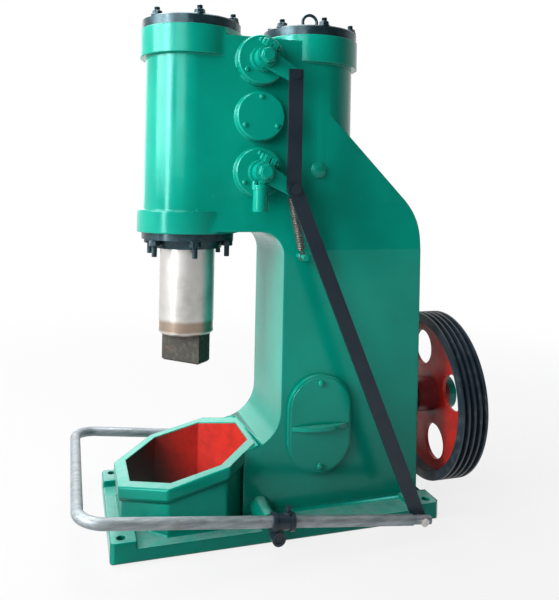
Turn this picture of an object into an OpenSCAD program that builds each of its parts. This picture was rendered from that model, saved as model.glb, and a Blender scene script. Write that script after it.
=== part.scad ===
// Self-contained air forging hammer: C-shaped casting, ram, air valves, treadle and drive pulley.
// The ram end is the front at -Y, the lever side is +X and Z is up.
// The origin is the middle of the foundation bolts, on the underside of the base.

/* [Base] */
// Width of the base flange
base_w = 436; // [400:2:520]
// Length of the base flange
base_l = 876; // [840:1:960]
// Thickness of the base flange
flange_t = 33; // [24:1:42]
// Cut-off at the corners of the base flange
base_corner = 10; // [4:1:20]
// Height of the front bolt pads above the floor
pad_h = 51; // [44:1:64]
// Height of the rear bolt pads above the floor
rear_pad_h = 46; // [40:1:60]
// Length of a front bolt pad
front_pad_l = 63; // [52:1:80]
// Length of a rear bolt pad
rear_pad_l = 84; // [60:1:100]
// Distance of the foundation bolts from the edges of the base
bolt_inset = 27; // [22:1:36]
// Diameter of the foundation bolt holes
bolt_d = 22; // [14:1:28]
// Radius of the fillet where the column stands on the flange
foot_fillet = 12; // [6:1:12]

/* [Anvil well] */
// Clear width of the well
well_w = 322; // [280:2:340]
// Clear length of the well
well_l = 312; // [270:2:330]
// Length of the slanting corners, measured along one side
well_corner = 92; // [60:1:110]
// Distance of the well from the front edge of the base
well_setback = 56; // [50:1:66]
// Width of the rim round the well
rim_w = 31; // [24:1:36]
// Depth of the rim's lip
lip_h = 28; // [18:1:40]
// How far the lip stands out from the wall below it
lip_out = 9; // [4:1:14]
// Depth of the cove below the lip
cove_h = 9; // [4:1:14]
// Height of the rim at the front of the well
rim_z = 133; // [115:1:160]
// Slope of the rim, rising to the back
rim_pitch = 14; // [6:0.5:18]

/* [Column] */
// Distance from the front edge of the base to the ram axis
ram_setback = 206; // [190:1:230]
// Throat depth, from the ram axis to the face of the column
throat = 235; // [215:1:260]
// Distance from the ram axis to the back face
back_reach = 642; // [610:1:690]
// Width of the column and crankcase
column_w = 276; // [260:2:310]
// Radius at the top of the throat
throat_top_r = 64; // [40:1:80]
// Radius at the foot of the throat
throat_foot_r = 100; // [60:1:110]
// Height where the back starts to curve over
shoulder_z = 760; // [720:5:780]
// Radius of the curved back
shoulder_r = 160; // [120:5:200]
// Height where the side walls reach the full column width
wall_low_z = 735; // [700:5:780]
// Height where the side walls reach the width of the cylinders
wall_high_z = 862; // [810:2:868]

/* [Cylinders] */
// Outside diameter of both barrels
barrel_d = 246; // [230:2:260]
// Diameter of the end flanges
end_d = 276; // [262:2:300]
// Distance between the two barrels
barrel_pitch = 344; // [320:2:370]
// Height of the joint face at the top
head_z = 1315; // [1250:5:1400]
// Depth of the top flanges
end_h = 74; // [50:1:90]
// Height of the joint face under the ram barrel
mouth_z = 774; // [750:1:800]
// Depth of the flange under the ram barrel
mouth_h = 59; // [40:1:80]
// Bore of the ram barrel
bore_d = 190; // [176:2:210]
// How far the body between the barrels stays below the joint face
chest_drop = 19; // [8:1:40]
// Height of the body's underside over the throat
throat_z = 780; // [760:1:800]

/* [Cylinder covers] */
// Thickness of the top covers
cover_t = 27; // [18:1:40]
// Diameter of the top covers
cover_d = 270; // [250:2:290]
// Diameter of the raised middle of the top covers
crown_d = 150; // [110:2:170]
// Height of the raised middle
crown_h = 8; // [4:1:14]
// Outside diameter of the lifting ring
ring_d = 52; // [40:1:70]
// Wire thickness of the lifting ring
ring_wire = 9; // [6:0.5:12]
// Diameter of the gland's flange
gland_d = 250; // [230:2:270]
// Thickness of the gland's flange
gland_t = 19; // [12:1:26]
// Diameter of the gland's nose
nose_d = 184; // [172:2:200]
// Length of the gland's nose
nose_h = 24; // [14:1:34]
// How much wider the nose is at the flange
nose_flare = 14; // [0:1:24]

/* [Ram] */
// Diameter of the ram
ram_d = 149; // [130:1:164]
// Height of the lower end of the ram
ram_z = 499; // [480:1:530]
// Bevel at the lower end of the ram
ram_bevel = 5; // [2:0.5:8]
// Distance of the brown band from the bevel
band_up = 5; // [3:1:10]
// Height of the brown band at the lower end
band_h = 24; // [14:1:34]
// Depth of the relief at the brown band
band_cut = 1.2; // [0.4:0.2:3]
// Length of the piston
piston_h = 110; // [80:5:140]
// Length of the upper die
die_l = 122; // [100:1:140]
// Width of the upper die
die_w = 52; // [40:1:64]
// Height of the upper die
die_h = 80; // [60:1:100]
// Turn of the die about the ram axis
die_turn = 45; // [0:5:90]
// Bevel on the edges of the die's face
die_bevel = 5; // [2:0.5:10]

/* [Valves] */
// Distance from the ram axis to the valve axes
valve_reach = 159; // [150:1:172]
// Height of the middle cover
valve_z = 1084; // [1060:1:1100]
// Height from one cover to the next
valve_pitch = 147; // [136:1:152]
// Diameter of the covers
valve_d = 128; // [110:2:134]
// Thickness of the covers
valve_t = 18; // [12:1:24]
// Height of the cast seats below the covers
seat_h = 19; // [12:1:26]
// Diameter of the hub on a valve cover
hub_d = 66; // [50:1:70]
// Length of the hub on a valve cover
hub_h = 16; // [10:1:22]
// Diameter of the valve spindles
spindle_d = 28; // [22:1:34]
// How far a spindle stands out from the hub of its lever
spindle_out = 18; // [6:1:24]
// Bevel on the edges of the covers
cover_bevel = 3; // [1:0.5:4]
// Diameter of the plug in the side wall
plug_d = 24; // [16:1:34]
// Height of the plug in the side wall
plug_z = 948; // [920:1:980]
// Distance from the ram axis to the plug
plug_reach = 333; // [320:1:350]

/* [Levers] */
// Reach of the valve levers, from spindle to link pin
lever_reach = 89; // [80:1:100]
// Angle of the levers below level
lever_dip = 29; // [20:1:40]
// Thickness of the lever arms
lever_t = 14; // [10:1:18]
// Diameter of the lever hubs
lever_hub_d = 54; // [46:1:62]
// Length of the lever hubs
lever_hub_l = 32; // [26:1:40]
// Diameter of the lever ends
lever_end_d = 36; // [30:1:44]
// Width of the clamp ears on the lever hubs
ear_w = 30; // [22:1:36]
// How far the clamp ears stand out from the hub
ear_h = 15; // [10:1:20]
// Lean of the clamp ears to the back
ear_lean = 25; // [0:1:35]
// Slit between the clamp ears
ear_slit = 4; // [2:0.5:6]
// Diameter of the hand lever socket
socket_d = 39; // [34:1:44]
// Length of the hand lever socket
socket_l = 56; // [40:1:80]
// Bore of the hand lever socket
socket_bore = 26; // [16:1:28]
// Gap between the lever hub and the socket
socket_drop = 18; // [12:1:24]
// Offset of the socket to the front of the spindle
socket_offset = 8; // [0:1:12]
// Width of the neck between the lever hub and the socket
socket_neck = 13; // [10:1:20]
// Distance between the two lugs over the socket
lug_pitch = 30; // [26:1:36]
// Diameter of the lugs
lug_d = 16; // [12:1:20]
// Thickness of the lugs
lug_t = 12; // [8:1:16]

/* [Links] */
// Width of the flat bars
bar_w = 38; // [30:1:44]
// Thickness of the flat bars
bar_t = 8; // [6:1:10]
// Length of the upright bar above its upper pin
bar_end = 15; // [12:1:24]
// Diameter of the link pins
pin_d = 16; // [12:1:18]
// Thickness of the heads on pins and studs
head_t = 6; // [4:0.5:9]
// Thickness of the heads on the link pins
pin_head_t = 4; // [3:0.5:8]
// Play of the long bar on the lever pin, measured on the radius
pin_play = 3; // [2.4:0.2:4]
// Running clearance of pins and spindles, measured on the radius
run_fit = 0.08; // [0.04:0.01:0.1]

/* [Return spring] */
// Outside diameter of the spring
spring_d = 20; // [14:1:26]
// Wire thickness of the spring
spring_wire = 4; // [2.5:0.5:5]
// Number of turns
spring_turns = 20; // [12:1:26]
// Height of the spring stud
stud_z = 718; // [690:1:730]
// Distance from the ram axis to the spring stud
stud_reach = 275; // [258:1:280]
// Diameter of the spring stud
stud_d = 14; // [10:1:18]
// How far the spring stud stands out beyond the spring
stud_out = 20; // [10:1:24]

/* [Crank cover] */
// Width of the crank cover
crank_w = 180; // [150:2:200]
// Height of the crank cover
crank_h = 266; // [230:2:290]
// Thickness of the crank cover
crank_t = 16; // [10:1:22]
// Height of the middle of the crank cover
crank_z = 264; // [250:1:280]
// Distance from the ram axis to the crank cover
crank_reach = 342; // [330:1:360]
// Bevel round the crank cover
crank_bevel = 6; // [2:1:10]
// How far the ledge across the crank cover stands out
ledge_out = 22; // [12:1:30]
// Thickness of the ledge
ledge_t = 11; // [6:1:16]

/* [Treadle] */
// Distance between the middles of the two arms
treadle_w = 594; // [560:2:640]
// Diameter of the treadle bar
tube_d = 28; // [25:1:34]
// Radius of the front corners, on the middle of the bar
bend_r = 62; // [46:2:90]
// Slope of the treadle, down to the back
treadle_pitch = 6.67; // [5:0.01:8]
// Distance from the ram axis to the pivot pins
pivot_reach = 181; // [170:1:200]
// Height of the pivot pins
pivot_z = 56; // [50:1:62]
// Height of the bar above the pivot pins
pivot_rise = 37; // [34:1:44]
// Length of the treadle in front of the pivot
front_l = 467; // [440:1:510]
// Length of the right arm behind the pivot
rear_l = 417; // [410:1:440]
// Distance from the pivot to the rear link bolt
bolt_l = 391; // [380:1:400]
// Length of the slimmer rear end of the right arm
tongue_l = 52; // [40:1:70]
// Diameter of the slimmer rear end
tongue_d = 23; // [20:1:25]
// Length of the left arm behind the pivot
stub_l = 71; // [60:1:90]
// Length of the clamps on the bar
clamp_l = 56; // [50:1:70]
// Outside diameter of the clamps
clamp_d = 38; // [36:1:44]
// Diameter of the collars at the ends of the clamps
collar_d = 44; // [42:1:50]
// Length of the collars
collar_l = 10; // [8:1:16]
// Distance of the middle of a clamp behind its pivot
clamp_back = 12; // [0:1:14]
// Diameter of the pivot pins
pivot_d = 22; // [18:1:26]
// Diameter of the eye below the clamp
eye_d = 34; // [32:1:44]
// Length of the eye below the clamp
eye_l = 28; // [26:1:40]
// Width of the neck between clamp and eye
neck_w = 22; // [18:1:28]
// Diameter of the cast boss that holds a pivot pin
boss_d = 48; // [44:2:70]
// Flare of the cast boss at the column, measured on the radius
boss_flare = 6; // [4:1:10]
// How far the cast boss stands out from the base
boss_out = 10; // [4:1:20]
// Width of the head of the clamp screws
screw_w = 10; // [8:1:14]
// Height of the head of the clamp screws
screw_h = 8; // [6:1:12]

/* [Drive] */
// Diameter of the pulley
pulley_d = 496; // [460:2:520]
// Width of the pulley rim
pulley_w = 80; // [60:1:90]
// Height of the shaft axis
shaft_z = 275; // [265:1:300]
// Distance from the back face to the pulley
pulley_gap = 79; // [66:1:90]
// Thickness of the pulley rim below the grooves
rim_t = 12; // [8:1:18]
// Depth of the belt grooves
groove_h = 14; // [10:0.5:16]
// Number of belt grooves
grooves = 4; // [2:1:5]
// Width of the lands between the grooves
groove_land = 6; // [4:0.5:8]
// Width of the floor of a groove
groove_floor = 8; // [5:0.5:10]
// Thickness of the pulley web
web_t = 11; // [8:1:20]
// Diameter of the round openings in the web
web_hole_d = 104; // [80:2:112]
// Circle of the round openings
web_hole_circle = 280; // [260:2:300]
// Turn of the round openings about the shaft
hole_turn = 16; // [0:1:45]
// Diameter of the pulley hub
pulley_hub_d = 104; // [90:2:120]
// How far the hub stands out to the front of the rim
hub_out = 22; // [10:1:30]
// Diameter of the shaft
shaft_d = 60; // [50:1:66]
// Diameter of the bearing cover
bearing_d = 190; // [160:2:220]
// Thickness of the bearing cover
bearing_t = 24; // [16:1:30]
// Diameter of the neck on the bearing cover
bearing_neck_d = 110; // [96:2:130]
// Length of the neck on the bearing cover
bearing_neck_l = 14; // [8:1:20]
// Depth of the bearing's pocket in the casting
pocket_l = 90; // [70:5:120]
// Diameter of the bearing's pocket
pocket_d = 80; // [72:2:110]
// Thickness of the cap nut at the end of the shaft
cap_nut_t = 24; // [12:1:30]
// Diameter of the cap nut at the end of the shaft
cap_nut_d = 98; // [80:2:102]

/* [Hidden] */
$fn = 64;
eps = 0.5;
gap = 1;
root = 30;
fillet_edge = 0.8;
seat_rim = 4;
right = 1;
left = -1;
front_y = -base_l / 2;
rear_y = base_l / 2;
ram_y = front_y + ram_setback;
pump_y = ram_y + barrel_pitch;
column_y = ram_y + throat;
back_y = ram_y + back_reach;
well_y = front_y + well_setback + well_l / 2;
wall_x = column_w / 2;
chest_x = barrel_d / 2 - gap;
chest_z = head_z - chest_drop;
plug_x = barrel_d / 2 + 3 * gap;
plug_shank_d = plug_d * 2 / 3;
valve_y = ram_y + valve_reach;
lower_valve_z = valve_z - valve_pitch;
upper_valve_z = valve_z + valve_pitch;
seat_x = chest_x + seat_h;
valve_x = seat_x + valve_t;
hub_x = valve_x + hub_h;
lever_hub_x = hub_x + gap;
lever_x = lever_hub_x + (lever_hub_l - lever_t) / 2;
bar_x = lever_x + lever_t + gap;
long_bar_x = bar_x + bar_t + gap;
pin_head_x = long_bar_x + bar_t + 3 * gap;
link_y = valve_y + lever_reach * cos(lever_dip);
lower_link_z = lower_valve_z - lever_reach * sin(lever_dip);
upper_link_z = upper_valve_z - lever_reach * sin(lever_dip);
spring_x = lever_x - spring_d / 2 - gap;
stud_y = ram_y + stud_reach;
stud_x = spring_x + spring_d / 2 + stud_out;
crank_y = ram_y + crank_reach;
pivot_y = ram_y + pivot_reach;
arm_x = treadle_w / 2;
screw_seat = collar_d / 2 + 2 * gap;
clamp_y0 = clamp_back - clamp_l / 2;
clamp_y1 = clamp_back + clamp_l / 2;
screw_y = clamp_back + clamp_l / 5;
bar_low_x = arm_x - tube_d / 2 - bar_t / 2 - 2 * gap;
bolt_y = pivot_y + bolt_l;
bolt_z = pivot_z + pivot_rise - bolt_l * tan(treadle_pitch);
gland_z = mouth_z - gland_t;
nose_z = gland_z - nose_h;
pulley_y = back_y + pulley_gap;
hub_front_y = pulley_y - hub_out;
shaft_end_y = pulley_y + pulley_w + head_t;
bearing_face_y = back_y + bearing_t;
column_low_y = column_y - throat_foot_r;
foot_z = rim_at(column_low_y) + throat_foot_r / cos(rim_pitch) - gap;
foot_y = column_low_y + throat_foot_r * sin(rim_pitch);
shoulder_y = back_y - shoulder_r;
slope_y = shoulder_y + shoulder_r * cos(45);
slope_z = shoulder_z + shoulder_r * sin(45);

function rim_at(y) = rim_z + (y - front_y - well_setback) * tan(rim_pitch);

// Extrudes a side view, drawn as Y and Z, to both sides of the middle
module from_side(w) {
  rotate([90, 0, 90])
    linear_extrude(w, center = true)
      children();
}

// Extrudes a front view, drawn as X and Z, along the whole object
module from_front(l) {
  rotate([90, 0, 0])
    linear_extrude(l, center = true)
      children();
}

// Extrudes a side view from one X to another
module between(x0, x1) {
  translate([x0, 0, 0])
    rotate([90, 0, 90])
      linear_extrude(x1 - x0)
        children();
}

// A round bar along X
module x_rod(x0, x1, y, z, d) {
  translate([x0, y, z])
    rotate([0, 90, 0])
      cylinder(h = x1 - x0, d = d);
}

// A round bar along Y
module y_rod(y0, y1, z, d) {
  translate([0, y0, z])
    rotate([-90, 0, 0])
      cylinder(h = y1 - y0, d = d);
}

module green() {
  color([0.0, 0.45, 0.38])
    children();
}

module black() {
  color([0.06, 0.06, 0.08])
    children();
}

module steel() {
  color([0.66, 0.67, 0.68])
    children();
}

// The outline of the well, grown outward
module octagon(grow) {
  hw = well_w / 2 + grow;
  hl = well_l / 2 + grow;
  c = well_corner + grow * (2 - sqrt(2));
  polygon([[hw, c - hl], [hw, hl - c], [hw - c, hl], [c - hw, hl],
    [-hw, hl - c], [-hw, c - hl], [c - hw, -hl], [hw - c, -hl]]);
}

module well_prism(grow) {
  translate([0, well_y, -eps])
    linear_extrude(foot_z)
      octagon(grow);
}

// The side view under the sloping rim, from a depth below the rim down to a level
module under_rim(depth, low) {
  y0 = front_y;
  y1 = column_y;
  polygon([[y0, rim_at(y0) - depth], [y1, rim_at(y1) - depth], [y1, low], [y0, low]]);
}

// The side view of a band that follows the rim, from one depth to another
module rim_band(top, low) {
  y0 = front_y;
  y1 = column_y;
  polygon([[y0, rim_at(y0) - top], [y1, rim_at(y1) - top], [y1, rim_at(y1) - low], [y0, rim_at(y0) - low]]);
}

module base_outline() {
  hw = base_w / 2;
  c = base_corner;
  polygon([[hw, front_y + c], [hw, rear_y - c], [hw - c, rear_y], [c - hw, rear_y],
    [-hw, rear_y - c], [-hw, front_y + c], [c - hw, front_y], [hw - c, front_y]]);
}

module bolt_pads(y, l, h) {
  intersection() {
    linear_extrude(h)
      base_outline();
    union() {
      for (side = [left, right])
        translate([side > 0 ? wall_x : -base_w, y, 0])
          cube([base_w - wall_x, l, h]);
    }
  }
}

module bolt_holes() {
  for (x = [bolt_inset - base_w / 2, base_w / 2 - bolt_inset])
    for (y = [front_y + bolt_inset, rear_y - bolt_inset])
      translate([x, y, -eps])
        cylinder(h = pad_h + 2 * eps, d = bolt_d);
}

// The C shape seen from the lever side
module side_view() {
  difference() {
    polygon([[column_low_y, flange_t], [back_y, flange_t], [back_y, shoulder_z], [slope_y, slope_z],
      [pump_y, slope_z + slope_y - pump_y], [pump_y, chest_z], [ram_y, chest_z], [ram_y, throat_z],
      [column_y - throat_top_r, throat_z], [column_y - throat_top_r, throat_z - throat_top_r],
      [column_y, throat_z - throat_top_r], [column_y, foot_z], [foot_y, foot_z],
      [foot_y, rim_at(foot_y) - gap], [column_low_y, rim_at(column_low_y) - gap]]);
    translate([column_y - throat_top_r, throat_z - throat_top_r])
      circle(throat_top_r);
    translate([column_low_y, foot_z])
      circle(throat_foot_r);
  }
  intersection() {
    translate([shoulder_y, shoulder_z])
      circle(shoulder_r);
    translate([shoulder_y, shoulder_z - gap])
      square(shoulder_r + gap);
  }
}

// The width of the side walls, seen from the front
module wall_view() {
  polygon([[wall_x, flange_t], [wall_x, wall_low_z], [chest_x, wall_high_z], [chest_x, head_z],
    [-chest_x, head_z], [-chest_x, wall_high_z], [-wall_x, wall_low_z], [-wall_x, flange_t]]);
}

module barrels() {
  translate([0, ram_y, mouth_z])
    cylinder(h = head_z - mouth_z, d = barrel_d);
  translate([0, ram_y, mouth_z])
    cylinder(h = mouth_h, d = end_d);
  translate([0, pump_y, shoulder_z])
    cylinder(h = head_z - shoulder_z, d = barrel_d);
  for (y = [ram_y, pump_y])
    translate([0, y, head_z - end_h])
      cylinder(h = end_h, d = end_d);
}

module pivot_boss(side) {
  translate([side * wall_x, pivot_y, pivot_z])
    rotate([0, side * 90, 0]) {
      cylinder(h = base_w / 2 + boss_out - wall_x, d = boss_d);
      cylinder(h = base_w / 4 - wall_x / 2, d1 = boss_d + 2 * boss_flare, d2 = boss_d);
    }
}

// The section of a hollow fillet, drawn from the inner edge
module cove(r) {
  difference() {
    square(r);
    translate([r, r])
      circle(r - fillet_edge);
  }
}

// The fillets along both sides and the back of the column's foot
module foot_coves() {
  heel_r = rear_y - back_y - 2 * gap;
  end_y = rear_y - rear_pad_l + gap;
  translate([wall_x, end_y, flange_t - gap])
    rotate([90, 0, 0])
      linear_extrude(end_y - column_low_y)
        cove(foot_fillet);
  translate([-wall_x, column_low_y, flange_t - gap])
    rotate([90, 0, 180])
      linear_extrude(end_y - column_low_y)
        cove(foot_fillet);
  translate([0, back_y, flange_t - gap])
    from_side(column_w)
      cove(heel_r);
}

// The wall of the well with its lip, before the well is cut
module well_wall() {
  intersection() {
    well_prism(rim_w - lip_out);
    from_side(base_w)
      under_rim(lip_h / 2, flange_t / 2);
  }
  intersection() {
    well_prism(rim_w - lip_out / 2);
    from_side(base_w)
      rim_band(lip_h / 2, lip_h + cove_h);
  }
  intersection() {
    well_prism(rim_w);
    from_side(base_w)
      rim_band(0, lip_h);
  }
}

module base_casting() {
  green()
    difference() {
      union() {
        linear_extrude(flange_t)
          base_outline();
        bolt_pads(front_y, front_pad_l, pad_h);
        bolt_pads(rear_y - rear_pad_l, rear_pad_l, rear_pad_h);
        well_wall();
        foot_coves();
        for (side = [left, right])
          pivot_boss(side);
      }
      well_prism(0);
      bolt_holes();
      for (side = [left, right])
        x_rod(side > 0 ? wall_x : -base_w, side > 0 ? base_w : -wall_x, pivot_y, pivot_z, pivot_d);
    }
}

module frame_casting() {
  green()
    difference() {
      union() {
        intersection() {
          from_side(base_w)
            side_view();
          from_front(2 * base_l)
            wall_view();
        }
        barrels();
        for (z = [lower_valve_z, valve_z, upper_valve_z])
          x_rod(chest_x - root, seat_x, valve_y, z, valve_d + seat_rim);
        x_rod(chest_x - root, plug_x, ram_y + plug_reach, plug_z, plug_d + 2 * seat_rim);
      }
      well_wall();
      well_prism(0);
      translate([0, ram_y, mouth_z - eps])
        cylinder(h = head_z - mouth_z + 2 * eps, d = bore_d);
      for (z = [lower_valve_z, upper_valve_z])
        x_rod(seat_x - root, seat_x + eps, valve_y, z, spindle_d + lever_t);
      y_rod(back_y - pocket_l, back_y + eps, shaft_z, pocket_d);
      x_rod(wall_x - root, wall_x + eps, stud_y, stud_z, stud_d);
      x_rod(plug_x - root, plug_x + eps, ram_y + plug_reach, plug_z, plug_shank_d + 2 * run_fit);
    }
}

module top_cover(y) {
  black()
    translate([0, y, head_z]) {
      cylinder(h = cover_t - cover_bevel, d = cover_d);
      translate([0, 0, cover_t - cover_bevel])
        cylinder(h = cover_bevel, d1 = cover_d, d2 = cover_d - 2 * cover_bevel);
      translate([0, 0, cover_t])
        cylinder(h = crown_h, d = crown_d);
    }
}

module ram_cylinder_cover() {
  top_cover(ram_y);
}

module pump_cylinder_cover() {
  top_cover(pump_y);
}

module lifting_ring() {
  ring_r = (ring_d - ring_wire) / 2;
  black()
    translate([0, pump_y, head_z + cover_t + crown_h]) {
      cylinder(h = ring_wire, d = 3 * ring_wire);
      translate([0, 0, ring_wire - gap + ring_r])
        rotate([0, 90, 0])
          rotate_extrude()
            translate([ring_r, 0])
              circle(d = ring_wire, $fn = 32);
    }
}

module gland_cover() {
  black()
    translate([0, ram_y, 0])
      difference() {
        union() {
          translate([0, 0, gland_z])
            cylinder(h = gland_t, d = gland_d);
          translate([0, 0, nose_z])
            cylinder(h = nose_h + eps, d1 = nose_d, d2 = nose_d + nose_flare);
        }
        translate([0, 0, nose_z - eps])
          cylinder(h = gland_t + nose_h + 2 * eps, d = ram_d + 2 * run_fit);
      }
}

module ram() {
  band_z = ram_z + ram_bevel + band_up;
  rod_z = band_z + band_h;
  piston_z = mouth_z + gap;
  steel()
    translate([0, ram_y, 0]) {
      translate([0, 0, ram_z])
        cylinder(h = ram_bevel, d1 = ram_d - 2 * ram_bevel, d2 = ram_d);
      translate([0, 0, ram_z + ram_bevel])
        cylinder(h = band_up, d = ram_d);
      translate([0, 0, band_z])
        cylinder(h = band_h, d = ram_d - 2 * band_cut);
      translate([0, 0, rod_z])
        cylinder(h = piston_z - rod_z, d = ram_d);
      translate([0, 0, piston_z])
        cylinder(h = piston_h, d = bore_d - 2 * run_fit);
    }
}

module die_side(l) {
  polygon([[l / 2, die_h], [l / 2, die_bevel], [l / 2 - die_bevel, 0], [die_bevel - l / 2, 0],
    [-l / 2, die_bevel], [-l / 2, die_h]]);
}

module upper_die() {
  color([0.25, 0.25, 0.26])
    translate([0, ram_y, ram_z - die_h])
      rotate([0, 0, die_turn])
        intersection() {
          from_front(die_w)
            die_side(die_l);
          from_side(die_l)
            die_side(die_w);
        }
}

module valve_cover(z, with_hub) {
  green()
    difference() {
      union() {
        x_rod(seat_x, valve_x - cover_bevel, valve_y, z, valve_d);
        translate([valve_x - cover_bevel, valve_y, z])
          rotate([0, 90, 0])
            cylinder(h = cover_bevel, d1 = valve_d, d2 = valve_d - 2 * cover_bevel);
        if (with_hub)
          x_rod(valve_x - eps, hub_x, valve_y, z, hub_d);
      }
      if (with_hub)
        x_rod(seat_x - eps, hub_x + eps, valve_y, z, spindle_d + 2 * run_fit);
    }
}

module upper_valve_cover() {
  valve_cover(upper_valve_z, true);
}

module middle_cover() {
  valve_cover(valve_z, false);
}

module lower_valve_cover() {
  valve_cover(lower_valve_z, true);
}

module spindle(z) {
  green()
    x_rod(seat_x - root / 3, lever_hub_x + lever_hub_l + spindle_out, valve_y, z, spindle_d);
}

module upper_spindle() {
  spindle(upper_valve_z);
}

module lower_spindle() {
  spindle(lower_valve_z);
}

// The arm from a valve spindle to a link pin, drawn level and then dipped
module arm_view() {
  r0 = lever_hub_d / 2 - 2 * gap;
  r1 = lever_end_d / 2;
  lean = asin((r0 - r1) / lever_reach);
  flank0 = r0 - eps;
  flank1 = r1 - eps;
  circle(r0);
  translate([lever_reach, 0])
    circle(r1);
  polygon([[flank0 * sin(lean), flank0 * cos(lean)],
    [lever_reach + flank1 * sin(lean), flank1 * cos(lean)],
    [lever_reach + flank1 * sin(lean), -flank1 * cos(lean)],
    [flank0 * sin(lean), -flank0 * cos(lean)]]);
}

// A block that stands out from a lever hub, for the clamp ears and the slit between them
module ear_block(z, inset, w, low, high) {
  translate([lever_hub_x + inset, valve_y, z])
    rotate([-ear_lean, 0, 0])
      translate([0, -w / 2, low])
        cube([lever_hub_l - 2 * inset, w, high - low]);
}

module lever(z) {
  x_rod(lever_hub_x, lever_hub_x + lever_hub_l, valve_y, z, lever_hub_d);
  ear_block(z, 2 * gap, ear_w, 0, lever_hub_d / 2 + ear_h);
  between(lever_x, lever_x + lever_t)
    translate([valve_y, z])
      rotate(-lever_dip)
        arm_view();
}

module lever_bores(z, link_z) {
  x_rod(lever_hub_x - eps, lever_hub_x + lever_hub_l + eps, valve_y, z, spindle_d);
  x_rod(lever_x - eps, lever_x + lever_t + eps, link_y, link_z, pin_d);
  ear_block(z, -eps, ear_slit, 0, lever_hub_d);
}

module upper_lever() {
  green()
    difference() {
      lever(upper_valve_z);
      lever_bores(upper_valve_z, upper_link_z);
    }
}

socket_top_z = lower_valve_z - lever_hub_d / 2 - socket_drop;
socket_x = lever_hub_x + lever_hub_l / 2;
socket_y = valve_y - socket_offset;

// The plate with two lugs that closes the hand lever socket
module lug_plate() {
  translate([socket_x, socket_y, socket_top_z])
    linear_extrude(lug_t) {
      circle(d = socket_d + 2 * gap);
      for (side = [left, right])
        translate([0, side * lug_pitch / 2])
          circle(d = lug_d);
      translate([-lug_d / 2, -lug_pitch / 2])
        square([lug_d, lug_pitch]);
    }
}

module lower_lever() {
  green()
    difference() {
      union() {
        lever(lower_valve_z);
        translate([lever_hub_x + gap, socket_y - socket_neck / 2, socket_top_z])
          cube([lever_hub_l - 2 * gap, socket_neck, lower_valve_z - socket_top_z]);
        lug_plate();
      }
      lever_bores(lower_valve_z, lower_link_z);
    }
}

module hand_socket() {
  green()
    translate([socket_x, socket_y, socket_top_z - socket_l])
      difference() {
        cylinder(h = socket_l, d = socket_d);
        translate([0, 0, -eps])
          cylinder(h = socket_l - head_t, d = socket_bore);
      }
}

// A flat bar drawn along its length from the first hole, with one round and one square end
module bar_view(l) {
  circle(d = bar_w);
  translate([0, -bar_w / 2])
    square([l + bar_end, bar_w]);
}

module valve_link() {
  black()
    difference() {
      between(bar_x, bar_x + bar_t)
        translate([link_y, lower_link_z])
          rotate(90)
            bar_view(upper_link_z - lower_link_z);
      for (z = [lower_link_z, upper_link_z])
        x_rod(bar_x - eps, bar_x + bar_t + eps, link_y, z, pin_d + 2 * run_fit);
    }
}

long_dy = bolt_y - link_y;
long_dz = lower_link_z - bolt_z;
long_dx = bar_low_x - long_bar_x - bar_t / 2;
long_turn = atan2(long_dz, long_dy);
long_flat = sqrt(long_dy * long_dy + long_dz * long_dz);
long_lean = atan2(long_dx, long_flat);
long_l = sqrt(long_flat * long_flat + long_dx * long_dx);

// The long bar leans outward from the lever to the treadle, and its two ends stay upright
module treadle_link() {
  black()
    difference() {
      union() {
        translate([long_bar_x + bar_t / 2, link_y, lower_link_z])
          rotate([-long_turn, 0, 0])
            rotate([0, 0, -long_lean])
              translate([-bar_t / 2, 0, -bar_w / 2])
                cube([bar_t, long_l, bar_w]);
        x_rod(long_bar_x, long_bar_x + bar_t, link_y, lower_link_z, bar_w);
        x_rod(bar_low_x - bar_t / 2, bar_low_x + bar_t / 2, bolt_y, bolt_z, bar_w);
      }
      x_rod(long_bar_x - bar_t, long_bar_x + 2 * bar_t, link_y, lower_link_z, pin_d + 2 * pin_play);
      x_rod(bar_low_x - 2 * bar_t, bar_low_x + 2 * bar_t, bolt_y, bolt_z, pin_d + 2 * run_fit);
    }
}

module link_pin(x1, z, head_d) {
  black() {
    x_rod(lever_x - spring_d - pin_head_t, x1, link_y, z, pin_d);
    x_rod(x1, x1 + pin_head_t, link_y, z, head_d);
  }
}

module upper_link_pin() {
  link_pin(long_bar_x, upper_link_z, pin_d + head_t);
}

module lower_link_pin() {
  link_pin(pin_head_x, lower_link_z, pin_d + 2 * pin_play + head_t);
}

spring_span = [0, stud_y - link_y, stud_z - lower_link_z];
spring_l = norm(spring_span);
spring_lean = atan2(spring_span[1], -spring_span[2]);
spring_seat = 0.3;
spring_cap = spring_wire * 0.6;
spring_sides = 6;
spring_steps = 12;
spring_n = spring_turns * spring_steps;
spring_r = (spring_d - spring_wire) / 2;
hook_l = max(pin_d, stud_d) / 2 + 2.5 * spring_wire;
coil_top = -hook_l - spring_seat - spring_wire / 2;
coil_low = spring_wire / 2 + spring_seat + hook_l - spring_l;

function coil_point(i, j) =
  let (turn = 360 * i / spring_steps, side = 360 * j / spring_sides)
  let (r = spring_r + spring_wire / 2 * cos(side))
  let (z = coil_top + (coil_low - coil_top) * i / spring_n)
  [r * cos(turn), r * sin(turn), z + spring_wire / 2 * sin(side)];

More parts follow.
